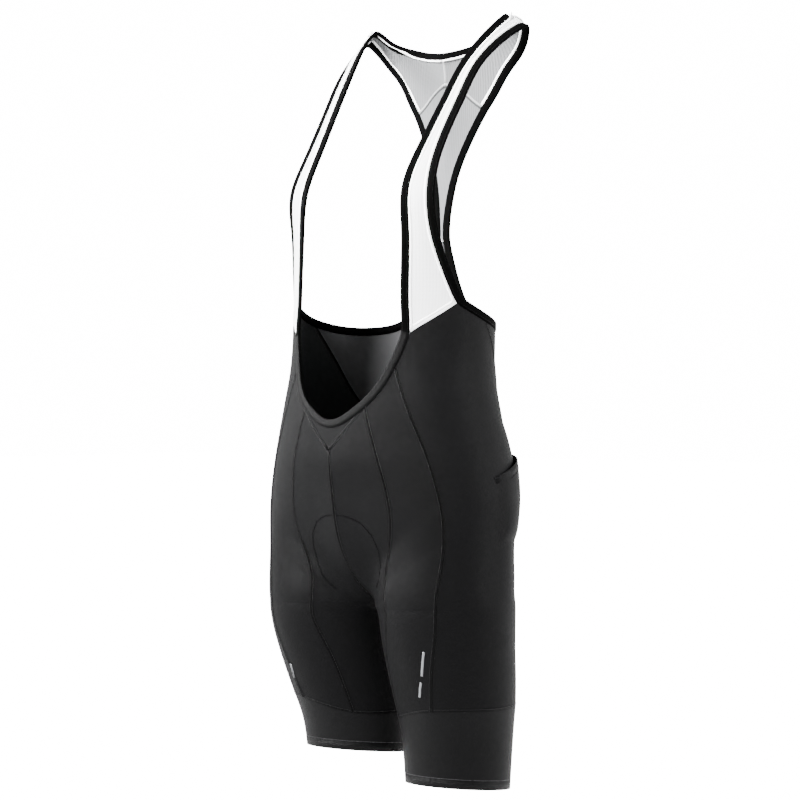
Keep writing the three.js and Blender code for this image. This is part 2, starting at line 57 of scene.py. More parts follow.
# %% Camera
VIEW_ANGLE = math.radians(40)
VIEW_DISTANCE = 2.65
GARMENT_MIDDLE = Vector((0, -0.078, -0.440))
SENSOR_WIDTH = 36
FOCAL_PIXELS = 2298  # the lens, in pixels of the photo
PHOTO_PIXELS = 800

camera_data = bpy.data.cameras.new("camera")
camera_data.sensor_width = SENSOR_WIDTH
camera_data.lens = SENSOR_WIDTH * FOCAL_PIXELS / PHOTO_PIXELS
camera = bpy.data.objects.new("camera", camera_data)
bpy.context.collection.objects.link(camera)
towards = Vector((math.sin(VIEW_ANGLE), -math.cos(VIEW_ANGLE), 0))
camera.location = GARMENT_MIDDLE + VIEW_DISTANCE * towards
camera.rotation_euler = (math.radians(90), 0, VIEW_ANGLE)
bpy.context.scene.camera = camera
print("camera at", [round(v, 3) for v in camera.location])

# %% Node helpers
def add_node(tree, kind, **settings):
    made = tree.nodes.new(kind)
    for key, value in settings.items():
        setattr(made, key, value)
    return made


def set_inputs(tree, made, values):
    """Links each socket that is given to an input, and writes any other value into it."""
    for name, value in values.items():
        if isinstance(value, bpy.types.NodeSocket):
            tree.links.new(value, made.inputs[name])
        else:
            made.inputs[name].default_value = value


def math_node(tree, operation, first, second=0.0):
    made = add_node(tree, "ShaderNodeMath", operation=operation)
    set_inputs(tree, made, {0: first, 1: second})
    return made.outputs[0]


def new_look(name):
    """A material with its node tree and its Principled shader."""
    look = bpy.data.materials.new(name)
    look.use_nodes = True
    return look, look.node_tree, look.node_tree.nodes["Principled BSDF"]


# %% Floor and surroundings
FLOOR_LEVEL = -1.46
FLOOR_SIZE = 30
FLOOR_STRENGTH = 1.3
OVEREXPOSED = 16.0
DIM_STRENGTH = 0.04
BRIGHT_STRENGTH = 2.3
BRIGHT_SIDE = (-0.55 * math.sin(VIEW_ANGLE), 0.55 * math.cos(VIEW_ANGLE), 0.5)
DIM_UP_TO = -0.25
BRIGHT_FROM = 0.35


def white_to_camera(tree, strength, socket):
    """A white studio sweep is overexposed: the camera sees it far brighter than it lights the cloth."""
    ray = add_node(tree, "ShaderNodeLightPath")
    blend = add_node(tree, "ShaderNodeMix")
    set_inputs(tree, blend, {0: ray.outputs["Is Camera Ray"], 2: strength, 3: OVEREXPOSED})
    tree.links.new(blend.outputs[0], socket)


floor_mesh = bpy.data.meshes.new("floor")
shape = bmesh.new()
bmesh.ops.create_grid(shape, x_segments=1, y_segments=1, size=FLOOR_SIZE)
bmesh.ops.translate(shape, verts=shape.verts, vec=(0, 0, FLOOR_LEVEL))
shape.to_mesh(floor_mesh)
shape.free()
floor = bpy.data.objects.new("floor", floor_mesh)
bpy.context.collection.objects.link(floor)
floor_look, floor_tree, floor_shader = new_look("pale floor")
set_inputs(floor_tree, floor_shader, {
    "Base Color": (0.95, 0.95, 0.95, 1),
    "Roughness": 0.9,
    "Specular IOR Level": 0.0,
    "Emission Color": (1, 1, 1, 1),
})
white_to_camera(floor_tree, FLOOR_STRENGTH, floor_shader.inputs["Emission Strength"])
floor_mesh.materials.append(floor_look)

# The studio is bright behind the garment and overhead, and dim behind the camera.
world = bpy.data.worlds.new("studio")
world.use_nodes = True
sky = world.node_tree
direction = add_node(sky, "ShaderNodeTexCoord")
facing = add_node(sky, "ShaderNodeVectorMath", operation="DOT_PRODUCT")
set_inputs(sky, facing, {0: direction.outputs["Generated"], 1: BRIGHT_SIDE})
strength = add_node(sky, "ShaderNodeMapRange", interpolation_type="SMOOTHSTEP")
set_inputs(sky, strength, {
    "Value": facing.outputs["Value"],
    "From Min": DIM_UP_TO,
    "From Max": BRIGHT_FROM,
    "To Min": DIM_STRENGTH,
    "To Max": BRIGHT_STRENGTH,
})
background = sky.nodes["Background"]
background.inputs["Color"].default_value = (1, 1, 1, 1)
white_to_camera(sky, strength.outputs[0], background.inputs["Strength"])
bpy.context.scene.world = world


# %% Lamps
def add_lamp(name, place, size, power, aim=GARMENT_MIDDLE, spread=180):
    lamp_data = bpy.data.lights.new(name, "AREA")
    lamp_data.shape = "RECTANGLE"
    lamp_data.size, lamp_data.size_y = size
    lamp_data.energy = power
    lamp_data.spread = math.radians(spread)
    lamp = bpy.data.objects.new(name, lamp_data)
    bpy.context.collection.objects.link(lamp)
    lamp.location = place
    lamp.rotation_euler = (Vector(aim) - Vector(place)).to_track_quat("-Z", "Y").to_euler()


add_lamp("key", (-1.9, -1.5, 0.5), (0.8, 1.2), 31, aim=(0, -0.078, -0.24), spread=48)
add_lamp("front", (-0.15, -2.2, 0.9), (0.8, 0.8), 28, aim=(0, -0.078, -0.17), spread=38)
add_lamp("rim", (1.9, 1.4, 0.1), (0.4, 1.2), 11, aim=(0, 0, -0.30), spread=50)
add_lamp("inside", (-0.1, -0.9, 1.3), (0.6, 0.6), 18)

# %% [markdown]
# ## Finishes
# Every cloth here is a knit, so one node group draws the knit: fine wales up the cloth and
# courses across it, read from a UV map in metres that each piece carries. The group gives out
# only a height and a mask of painted shade, which darkens the hollows between the loops.
# Each finish sets its own pitch, colours and sheen on its own shader.


# %% Knit group
COURSE_SHARE = 0.5  # how high a course stands beside a wale
LOOP_EDGE = 0.35    # below this part of the height lie the hollows between loops, which get painted shade

knit = bpy.data.node_groups.new("knit", "ShaderNodeTree")
for label, kind in (("Place", "NodeSocketVector"), ("Wales per metre", "NodeSocketFloat"),
                    ("Courses per metre", "NodeSocketFloat")):
    knit.interface.new_socket(name=label, in_out="INPUT", socket_type=kind)
for label in ("Height", "Hollow shade"):
    knit.interface.new_socket(name=label, in_out="OUTPUT", socket_type="NodeSocketFloat")
knit_in = add_node(knit, "NodeGroupInput")
knit_out = add_node(knit, "NodeGroupOutput")
split = add_node(knit, "ShaderNodeSeparateXYZ")
knit.links.new(knit_in.outputs["Place"], split.inputs[0])


def ripple(place, per_metre):
    phase = math_node(knit, "MULTIPLY", math_node(knit, "MULTIPLY", place, per_metre), 2 * math.pi)
    return math_node(knit, "SINE", phase)


wale = ripple(split.outputs["X"], knit_in.outputs["Wales per metre"])
course = ripple(split.outputs["Y"], knit_in.outputs["Courses per metre"])
height = math_node(knit, "ADD", wale, math_node(knit, "MULTIPLY", course, COURSE_SHARE))
knit.links.new(height, knit_out.inputs["Height"])
# Painted shade: the mask is largest where both wales and courses are low, in the hollows between the
# loops.
deep = math_node(knit, "MULTIPLY", math_node(knit, "SUBTRACT", LOOP_EDGE, wale),
                 math_node(knit, "SUBTRACT", LOOP_EDGE, course))
low = math_node(knit, "MULTIPLY", math_node(knit, "LESS_THAN", wale, LOOP_EDGE),
                math_node(knit, "LESS_THAN", course, LOOP_EDGE))
knit.links.new(math_node(knit, "MULTIPLY", deep, low), knit_out.inputs["Hollow shade"])


# %% Cloth finish
PATCH_SCALE = 22
PATCH_DETAIL = 3
BUMP_STRENGTH = 0.5
SHEEN_ROUGHNESS = 0.4


def cloth_finish(name, colour, hollow_shade_colour, wales, courses, relief, rough,
                 sheen=0.0, mottle=0.12, gloss=0.3):
    finish, tree, shader = new_look(name)
    place = add_node(tree, "ShaderNodeUVMap", uv_map="cloth")
    pattern = add_node(tree, "ShaderNodeGroup", node_tree=knit)
    set_inputs(tree, pattern, {"Place": place.outputs[0], "Wales per metre": wales,
                               "Courses per metre": courses})
    around = add_node(tree, "ShaderNodeTexCoord")
    patches = add_node(tree, "ShaderNodeTexNoise")
    set_inputs(tree, patches, {"Vector": around.outputs["Object"], "Scale": PATCH_SCALE,
                               "Detail": PATCH_DETAIL})
    shade = add_node(tree, "ShaderNodeMix", data_type="RGBA")
    set_inputs(tree, shade, {0: patches.outputs[0],
                             6: (*[c * (1 - mottle) for c in colour], 1),
                             7: (*[c * (1 + mottle) for c in colour], 1)})
    # Painted shade: the hollows between the loops take the darker colour.
    shaded_hollows = add_node(tree, "ShaderNodeMix", data_type="RGBA")
    set_inputs(tree, shaded_hollows, {0: pattern.outputs["Hollow shade"], 6: shade.outputs[2], 7: (*hollow_shade_colour, 1)})
    bump = add_node(tree, "ShaderNodeBump")
    set_inputs(tree, bump, {"Height": pattern.outputs["Height"], "Strength": BUMP_STRENGTH,
                            "Distance": relief})
    set_inputs(tree, shader, {
        "Base Color": shaded_hollows.outputs[2],
        "Normal": bump.outputs[0],
        "Roughness": rough,
        "Sheen Weight": sheen,
        "Sheen Roughness": SHEEN_ROUGHNESS,
        "Specular IOR Level": gloss,
    })
    return finish


# The second colour of each finish is painted shade in the hollows of its knit.
stretch_knit = cloth_finish("stretch knit", (0.0034, 0.0034, 0.0036), (0.0014, 0.0014, 0.0014),
                            1100, 900, 0.00010, 0.48, gloss=0.022)
stretch_inside = cloth_finish("stretch knit inside", (0.015, 0.015, 0.0155), (0.008, 0.008, 0.008),
                              1100, 900, 0.00010, 0.8, gloss=0.02)
panel_inside = cloth_finish("back panel inside", (0.042, 0.042, 0.044), (0.026, 0.026, 0.026),
                            1100, 900, 0.00010, 0.8, gloss=0.04)
cuff_knit = cloth_finish("cuff knit", (0.0044, 0.0044, 0.0046), (0.002, 0.002, 0.002),
                         800, 1400, 0.00012, 0.46, gloss=0.028)
strap_mesh = cloth_finish("strap mesh", (0.74, 0.743, 0.75), (0.60, 0.60, 0.61),
                          620, 700, 0.0002, 0.8, mottle=0.02, gloss=0.1)
# Painted shade: the inside of the white mesh is a dark grey copy of it.
mesh_inside_shaded = cloth_finish("mesh inside, painted shade", (0.125, 0.127, 0.13), (0.075, 0.077, 0.08),
                           340, 700, 0.0004, 0.85, mottle=0.03, gloss=0.1)
white_edge_glowing = cloth_finish("white edge, painted glow", (0.95, 0.95, 0.95), (0.9, 0.9, 0.9),
                          900, 900, 0.0001, 0.7, mottle=0.01, gloss=0.2)
# Painted glow: the edge band gives off a little light of its own, so it shows whiter than the mesh beside
# it.
set_inputs(white_edge_glowing.node_tree, white_edge_glowing.node_tree.nodes["Principled BSDF"],
           {"Emission Color": (1, 1, 1, 1), "Emission Strength": 0.25})
# Painted shade: the inside faces of the mesh's seams are a grey copy of the white mesh, lighter than its
# shaded inside.
mesh_seam_shaded = cloth_finish("mesh seam, painted shade", (0.24, 0.242, 0.245), (0.20, 0.20, 0.202),
                         900, 900, 0.0001, 0.8, mottle=0.01, gloss=0.1)
binding_tape = cloth_finish("binding tape", (0.0005, 0.0005, 0.0005), (0.0003, 0.0003, 0.0003),
                            900, 900, 0.00012, 0.7, gloss=0.008)
neck_band = cloth_finish("neck band", (0.0018, 0.0018, 0.0019), (0.0009, 0.0009, 0.0009),
                         900, 900, 0.00012, 0.45, gloss=0.03)
pad_knit = cloth_finish("pad knit", (0.012, 0.0125, 0.014), (0.008, 0.008, 0.009),
                        700, 700, 0.0002, 0.85, sheen=0.05, gloss=0.05)
seam_thread = cloth_finish("seam thread", (0.0014, 0.0014, 0.0015), (0.0006, 0.0006, 0.0006),
                           650, 300, 0.00025, 0.45, gloss=0.03)
thread_soft = cloth_finish("soft thread", (0.0065, 0.0065, 0.0068), (0.005, 0.005, 0.005),
                           900, 900, 0.00005, 0.4, gloss=0.10)
thread_black = cloth_finish("black thread", (0.0012, 0.0012, 0.0013), (0.001, 0.001, 0.001),
                            900, 900, 0.00005, 0.5, gloss=0.03)
# Painted highlight: light grey thread for the line of stitches above each cuff's edge.
thread_grey_highlight = cloth_finish("grey thread, painted highlight", (0.03, 0.03, 0.032), (0.02, 0.02, 0.02),
                           900, 900, 0.00005, 0.4, gloss=0.2)
# Painted shadow: the dark band that lies beside the seams of the back column, on its inside.
seam_shadow_look = cloth_finish("painted seam shadow", (0.045, 0.046, 0.048), (0.036, 0.036, 0.036),
                         900, 900, 0.0001, 0.8, mottle=0.01, gloss=0.1)
# Painted shade: the band along the cuff's edge is darker than the cuff.
hem_band_shaded = cloth_finish("hem band, painted shade", (0.0022, 0.0022, 0.0024), (0.001, 0.001, 0.001),
                         1200, 700, 0.00012, 0.5, gloss=0.06)
print("finishes:", len(bpy.data.materials))

# %% [markdown]
# ## Dressing a piece
# Each knitted panel is one thin shell on its solid's form. Its copy is merged, its triangles are
# joined back into squares, and its rims are kept crisp while the rest is smoothed. The UV map is
# wound round the trunk and then round each leg, in metres, so that the knit runs the way the
# cloth was cut. Soft creases are pressed in where a stretched garment wrinkles.

# %% Where the figure's middle lies
SHOULDER_LEVEL = -0.12
STRAP_BEND = -0.20
CHEST_LEVEL = -0.33
HIP_LEVEL = -0.60
CROTCH_LEVEL = -0.672
LEG_LENGTH = 0.2
LEG_AXIS = 0.080
MIDDLE_Y = {"shoulder": -0.040, "strap": -0.075, "trunk": -0.092, "leg": -0.094, "leg_back": 0.028}
SHOULDER_SHARE = 0.7  # how much of its own distance from the centre a strap's middle keeps
WIND_TOP = -0.56      # the cloth is wound round the trunk above this and round each leg below
WIND_FADE = 0.112
TRUNK_RADIUS = 0.125
LEG_RADIUS = 0.072
TRUNK_MIDDLE = -0.09


def side_of(place):
    return 1 if place.x > 0 else -1


def smooth_step(value):
    value = min(max(value, 0.0), 1.0)
    return value * value * (3 - 2 * value)


def inside_point(place, side):
    """A place inside the figure, level with the given one or below it, that outward is away from."""
    if place.z > CHEST_LEVEL:
        depth = MIDDLE_Y["shoulder"] if place.z > STRAP_BEND else MIDDLE_Y["strap"]
        return Vector((SHOULDER_SHARE * place.x, depth, min(place.z, SHOULDER_LEVEL)))
    if place.z > CROTCH_LEVEL:
        return Vector((0, MIDDLE_Y["trunk"], max(place.z, HIP_LEVEL)))
    drop = (CROTCH_LEVEL - place.z) / LEG_LENGTH
    return Vector((side * LEG_AXIS, MIDDLE_Y["leg"] + MIDDLE_Y["leg_back"] * drop, place.z))


def faces_out(place, direction, least=0.0):
    return direction.dot((place - inside_point(place, side_of(place))).normalized()) > least


def cloth_place(place, side, near):
    """The angle about the figure's middle, near the given one, and the place on the flat cloth."""
    share = smooth_step((WIND_TOP - place.z) / WIND_FADE)
    radius = TRUNK_RADIUS + share * (LEG_RADIUS - TRUNK_RADIUS)
    angle = math.atan2(place.x - side * LEG_AXIS * share, TRUNK_MIDDLE - place.y)
    while angle - near > math.pi:
        angle -= 2 * math.pi
    while near - angle > math.pi:
        angle += 2 * math.pi
    return angle, Vector((angle * radius, place.z))


# %% Creases
CREASE_RUN_ON = 0.3  # how far a crease fades out past its ends, as a share of its length
CREASES = [
    # start, end, half width, depth
    ((0.030, -0.180, -0.640), (0.110, -0.160, -0.560), 0.010, 0.0016),
    ((-0.030, -0.180, -0.640), (-0.115, -0.158, -0.562), 0.010, 0.0016),
    ((0.024, -0.170, -0.662), (0.100, -0.165, -0.612), 0.008, 0.0013),
    ((-0.022, -0.168, -0.664), (-0.098, -0.165, -0.618), 0.008, 0.0013),
    ((0.150, -0.120, -0.452), (0.118, -0.030, -0.470), 0.010, 0.0012),
    ((-0.150, -0.120, -0.448), (-0.120, -0.034, -0.462), 0.010, 0.0012),
    ((0.140, -0.050, -0.655), (0.070, 0.000, -0.640), 0.011, 0.0018),
    ((-0.140, -0.050, -0.650), (-0.072, 0.000, -0.636), 0.011, 0.0018),
    ((0.150, -0.100, -0.705), (0.110, -0.030, -0.716), 0.010, 0.0012),
    ((0.015, -0.190, -0.610), (0.034, -0.165, -0.668), 0.0085, 0.0018),
    ((0.000, -0.196, -0.600), (0.019, -0.176, -0.668), 0.0095, -0.0045),
    ((-0.150, -0.100, -0.712), (-0.112, -0.028, -0.704), 0.010, 0.0012),
]


def crease_depth(place):
    depth = 0.0
    for start, end, width, amount in CREASES:
        start, end = Vector(start), Vector(end)
        run = end - start
        along = (place - start).dot(run) / run.length_squared
        if -CREASE_RUN_ON < along < 1 + CREASE_RUN_ON:
            away = (place - start - along * run).length
            fade = max(0.0, 1 - (2 * abs(along - 0.5) / (1 + 2 * CREASE_RUN_ON)) ** 2)
            depth += amount * fade * math.exp(-(away / width) ** 2)
    return depth


# %% Centre ridge
RIDGE = {"rise": 0.0042, "half_width": 0.036, "top": -0.490, "bottom": -0.668, "power": 1.5}


def ridge_rise(place):
    """The front is drawn to a soft ridge along its centre seam, over the seat pad's front."""
    if place.y > TRUNK_MIDDLE or not RIDGE["bottom"] < place.z < RIDGE["top"]:
        return 0.0
    along = (place.z - RIDGE["bottom"]) / (RIDGE["top"] - RIDGE["bottom"])
    across = max(0.0, 1 - abs(place.x) / RIDGE["half_width"])
    return RIDGE["rise"] * math.sin(math.pi * along) * across ** RIDGE["power"]


# %% Dress helpers
MERGE_GAP = 2e-6
JOIN_FLAT = 0.7    # how far two triangles may be from flat, in radians, and still be joined
JOIN_SQUARE = 3.2  # how far the joined face may be from a square
RIM_ANGLE = math.radians(50)
SMOOTHING = 2


def search_tree(places):
    tree = kdtree.KDTree(len(places))
    for index, place in enumerate(places):
        tree.insert(place, index)
    tree.balance()
    return tree


def wall_copy(node, crease):
    """A merged copy of a node with its triangles joined and its rims marked."""
    shape = bmesh.new()
    shape.from_mesh(bpy.data.objects[node].data)
    bmesh.ops.remove_doubles(shape, verts=shape.verts, dist=MERGE_GAP)
    bmesh.ops.join_triangles(shape, faces=shape.faces, cmp_seam=False, cmp_sharp=False,
                             cmp_uvs=False, cmp_vcols=False, cmp_materials=False,
                             angle_face_threshold=JOIN_FLAT, angle_shape_threshold=JOIN_SQUARE)
    layer = shape.edges.layers.float.new("crease_edge")
    for edge in shape.edges:
        if len(edge.link_faces) == 2 and edge.calc_face_angle() > RIM_ANGLE:
            edge[layer] = crease
            edge.smooth = False
    for face in shape.faces:
        face.smooth = True
    return shape


def smoothed(shape, name):
    """Runs a subdivision surface over a bmesh and gives back an object with a plain mesh."""
    draft = bpy.data.objects.new(name + "_draft", bpy.data.meshes.new(name + "_draft"))
    shape.to_mesh(draft.data)
    shape.free()
    bpy.context.collection.objects.link(draft)
    round_off = draft.modifiers.new("round off", "SUBSURF")
    round_off.levels = SMOOTHING
    round_off.render_levels = SMOOTHING
    graph = bpy.context.evaluated_depsgraph_get()
    made = bpy.data.meshes.new_from_object(draft.evaluated_get(graph))
    bpy.data.objects.remove(draft)
    piece = bpy.data.objects.new(name, made)
    bpy.context.collection.objects.link(piece)
    return piece


def wind_cloth(mesh, side):
    """Writes the UV map in metres, wound round the trunk or a leg."""
    layer = mesh.uv_layers.get("cloth") or mesh.uv_layers.new(name="cloth")
    for face in mesh.polygons:
        near, _ = cloth_place(face.center, side, 0.0)
        for loop in face.loop_indices:
            corner = mesh.vertices[mesh.loops[loop].vertex_index].co
            layer.data[loop].uv = cloth_place(corner, side, near)[1]


# %% Pressing the form
EASE = {"depth": 0.0024, "reach": 0.048, "front": -0.105, "fade": 0.04}
TURN_DROP = 0.10   # below the hip, the height over which the direction turns to the leg's axis
TURN_WIDTH = 0.03  # beside the centre, the width over which it turns
LEAST_PRESS = 1e-5


def inward_at(place):
    """The direction that cloth is pressed in, which turns smoothly from the trunk to a leg."""
    share = smooth_step((HIP_LEVEL - place.z) / TURN_DROP)
    middle = LEG_AXIS * share * min(max(place.x / TURN_WIDTH, -1.0), 1.0)
    return (Vector((middle, MIDDLE_Y["trunk"], place.z)) - place).normalized()


def press(mesh, sunk):
    """Presses the creases, the ridge and the easing of the thigh's front into a piece."""
    for vertex in mesh.vertices:
        depth = sunk + crease_depth(vertex.co) - ridge_rise(vertex.co)
        near = max(0.0, 1 - abs(vertex.co.z - CROTCH_LEVEL) / EASE["reach"]) ** 2
        eased = EASE["depth"] * near * smooth_step((EASE["front"] - vertex.co.y) / EASE["fade"])
        if abs(depth) + eased > LEAST_PRESS:
            vertex.co += inward_at(vertex.co) * depth + Vector((0, eased, 0))


# %% Dressing
dressed = {}


def two_faced(mesh, outer, inner, least=0.0):
    """Gives a mesh one finish outside and another inside."""
    mesh.materials.clear()
    mesh.materials.append(outer)
    mesh.materials.append(inner)
    for face in mesh.polygons:
        face.material_index = 0 if faces_out(face.center, face.normal, least) else 1


def dress(node, finish, inner=None, crease=1.0, pressed=True, least=0.0, sunk=0.0):
    """Makes the cloth that replaces a node. A lower least counts more of its faces as outside."""
    piece = smoothed(wall_copy(node, crease), node + "_cloth")
    mesh = piece.data
    if pressed:
        press(mesh, sunk)
    wind_cloth(mesh, 1 if node.endswith("left") else -1 if node.endswith("right") else 0)
    if inner:
        two_faced(mesh, finish, inner, least)
    else:
        mesh.materials.clear()
        mesh.materials.append(finish)
    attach(piece, "root")
    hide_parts(node)
    dressed[node] = piece
    return piece


# %% [markdown]
# ## Body panels and cuffs
# The black panels are a warp-knitted stretch fabric. They are cut smaller than the wearer and
# stretch by about a seventh, so the flat cut is smaller than the cloth measured here.

# %% Panels
POCKET_OUTSIDE = -0.5  # the pocket hangs away from the body, so more of its faces are outside
PANELS = ["front_insert", "back_centre", "back_pocket"]
for side in ("left", "right"):
    PANELS += ["front_centre_" + side, "front_side_" + side, "side_back_" + side]
CUFFS = ["leg_cuff_left", "leg_cuff_right"]


for node in PANELS:
    dress(node, stretch_knit, inner=panel_inside if node == "back_centre" else stretch_inside,
          least=POCKET_OUTSIDE if node == "back_pocket" else 0.0)
for node in CUFFS:
    dress(node, cuff_knit, inner=stretch_inside)

# %% Pocket's sewn edges
POCKET_MOUTH_LOW = -0.530  # the mouth's corners, where the sewn side edges end
POCKET_FOOT = -0.590
POCKET_HALF = 0.1
POCKET_GAP = 0.0036
POCKET_FADE = 0.012


def sewn_below(place):
    """The level below which a rim of the pocket is sewn down: the rest of its rim is the mouth."""
    return POCKET_MOUTH_LOW if abs(place.x) > POCKET_HALF else POCKET_FOOT


pocket = dressed["back_pocket"].data
rim = {v for edge in pocket.edges if edge.use_edge_sharp for v in edge.vertices}
sewn = [pocket.vertices[v].co for v in rim if pocket.vertices[v].co.z < sewn_below(pocket.vertices[v].co)]
tree = search_tree(sewn)
for vertex in pocket.vertices:
    away = tree.find(vertex.co)[2]
    inward = inside_point(vertex.co, side_of(vertex.co)) - vertex.co
    vertex.co += inward.normalized() * POCKET_GAP * math.exp(-(away / POCKET_FADE) ** 2)
print("back_pocket edge points seated:", len(sewn), "of", len(rim))

# %% [markdown]
# ## Mesh straps and back
# The straps and the back are an open white mesh, ribbed on its inside. The inside faces get the
# ribbed finish in a dark grey, which is painted shade, because the back is seen from inside through
# the neck, where it lies in shade.

# %% Mesh pieces
MESH_PIECES = ["back_column"]
for side in ("left", "right"):
    MESH_PIECES += ["front_strap_" + side, "back_yoke_" + side]
for node in MESH_PIECES:
    dress(node, strap_mesh, inner=mesh_inside_shaded, pressed=False)

# %% [markdown]
# ## Seat pad
# The pad is a foam form faced with brushed knit, sewn to the inside of the seat.

# %% Pad
PAD_RIM_CREASE = 0.3
PAD_SUNK = 0.0018
pad = dress("seat_pad", pad_knit, crease=PAD_RIM_CREASE, sunk=PAD_SUNK)

# %% [markdown]
# ## Flatlock seams
# Stretch panels are joined edge to edge by a flat seam of several threads, which stands a little
# proud on both faces. Each seam here is a flat bar that is laid along the line where two dressed
# pieces meet. The line is read from the pieces themselves, so a seam can't drift off them.


# %% Finding where two pieces meet
RIM_FACES_OUT = 0.3
RIM_SPACING = 0.0005  # close enough to measure a gap from
RIM_REACH = 0.0012
EASINGS = 2
JOIN_WITHIN = 3  # a loop may close on one of its first points
LEAST_LOOP = 8


def rim_points(mesh):
    """The outer corners of a piece's rims: place and outward direction, with their neighbours."""
    shape = bmesh.new()
    shape.from_mesh(mesh)
    points, beside = {}, {}
    for edge in shape.edges:
        if edge.smooth or len(edge.link_faces) != 2:
            continue
        middle = (edge.verts[0].co + edge.verts[1].co) / 2
        outs = [face.normal for face in edge.link_faces if faces_out(middle, face.normal, RIM_FACES_OUT)]
        if not outs:
            continue
        radial = (middle - inside_point(middle, side_of(middle))).normalized()
        outward = max(outs, key=radial.dot)
        for vertex in edge.verts:
            points.setdefault(vertex.index, (vertex.co.copy(), outward.copy()))
        a, b = (vertex.index for vertex in edge.verts)
        beside.setdefault(a, []).append(b)
        beside.setdefault(b, []).append(a)
    shape.free()
    return points, beside


def rim_places(nodes, spacing=RIM_SPACING):
    """A search tree of places along the rims of some pieces."""
    places = []
    for node in nodes:
        points, beside = rims[node]
        for a, others in beside.items():
            for b in others:
                if a < b:
                    start, end = points[a][0], points[b][0]
                    count = max(1, math.ceil((end - start).length / spacing))
                    places += [start.lerp(end, k / count) for k in range(count + 1)]
    return search_tree(places)


TAPES = ["neck_binding", "arm_binding_left", "arm_binding_right"]
rims = {node: rim_points(piece.data) for node, piece in dressed.items()
        if node not in ("back_pocket", "seat_pad")}
for node in TAPES:
    draft = smoothed(wall_copy(node, 1.0), node + "_guide")
    rims[node] = rim_points(draft.data)
    bpy.data.objects.remove(draft)
print("rim points:", {node: len(points) for node, (points, _) in rims.items()})


def straightness(heading, turn):
    return heading.normalized().dot(turn.normalized())


def longest_run(close, beside):
    """The longest unbroken walk along a rim over the chosen points, and whether it closes on itself."""
    best = []
    unseen = set(close)
    while unseen:
        start = min(unseen, key=lambda key: sum(n in close for n in beside[key]))
        run, here = [], start
        while here is not None:
            run.append(here)
            unseen.discard(here)
            ahead = [n for n in beside[here] if n in unseen]
            place = close[here][0]
            heading = place - close[run[-2]][0] if len(run) > 1 else Vector((0, 0, 0))
            here = max(ahead, key=lambda n: straightness(heading, close[n][0] - place), default=None)
        if len(run) > len(best):
            best = run
    joins = [k for k in range(JOIN_WITHIN) if len(best) > LEAST_LOOP and best[k] in beside[best[-1]]]
    return best[joins[0] if joins else 0:], bool(joins)


def meeting_line(node, others, reach=RIM_REACH, away=False):
    """The longest run of a piece's rim that lies against any of the others, or away from them all."""
    tree = rim_places(others)
    points, beside = rims[node]
    close = {}
    for key, (place, outward) in points.items():
        nearest, _, gap = tree.find(place)
        if away and gap > reach:
            close[key] = (place, outward)
        elif not away and gap < reach:
            close[key] = ((place + nearest) / 2, outward)
    best, closed = longest_run(close, beside)
    return [close[key] for key in best], closed


def even_line(line, closed, step):
    """Points at even steps along a meeting line, eased a little, with their directions."""
    places = [place for place, _ in line]
    outs = [outward for _, outward in line]
    if closed:
        places.append(places[0])
        outs.append(outs[0])
    lengths = [0.0]
    for a, b in zip(places, places[1:]):
        lengths.append(lengths[-1] + (b - a).length)
    count = max(2, round(lengths[-1] / step))
    made, k = [], 0
    for i in range(count + 1):
        target = lengths[-1] * i / count
        while k < len(lengths) - 2 and lengths[k + 1] < target:
            k += 1
        t = (target - lengths[k]) / max(lengths[k + 1] - lengths[k], 1e-9)
        made.append((places[k].lerp(places[k + 1], t), outs[k].lerp(outs[k + 1], t).normalized()))
    if closed:
        made.pop()
    for _ in range(EASINGS):
        last = len(made)
        span = range(last) if closed else range(1, last - 1)
        eased = {i: (made[i - 1][0] + 2 * made[i][0] + made[(i + 1) % last][0]) / 4 for i in span}
        turned = {i: (made[i - 1][1] + made[i][1] + made[(i + 1) % last][1]).normalized() for i in span}
        for i in span:
            made[i] = (eased[i], turned[i])
    return made, lengths[-1]


# %% Ways across a path
VOTE_EVERY = 5
VOTE_SPACING = 0.002


def towards_piece(path, node, reach):
    """Which way across the path the named piece lies: 1 or -1."""
    tree = rim_places([node], VOTE_SPACING)
    votes = 0
    for i in range(0, len(path) - 1, VOTE_EVERY):
        here, outward = path[i]
        across = outward.cross((path[i + 1][0] - here).normalized()).normalized()
        there, back = tree.find(here + across * reach)[2], tree.find(here - across * reach)[2]
        votes += 1 if there < back else -1
    return 1 if votes > 0 else -1


def upward(path):
    """Which way across the path leads up at its start: 1 or -1."""
    here, outward = path[0]
    return 1 if outward.cross((path[1][0] - here).normalized()).z > 0 else -1


# %% Laying a bar along a line
GRID_DIGITS = 5
BAR_MERGE = 1e-6


def new_piece(name, shape, finish):
    """Makes a finished bmesh into a piece of the scene."""
    mesh = bpy.data.meshes.new(name)
    shape.to_mesh(mesh)
    shape.free()
    if not mesh.uv_layers:
        mesh.uv_layers.new(name="cloth")
    mesh.materials.append(finish)
    piece = bpy.data.objects.new(name, mesh)
    bpy.context.collection.objects.link(piece)
    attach(piece, "root")
    return piece


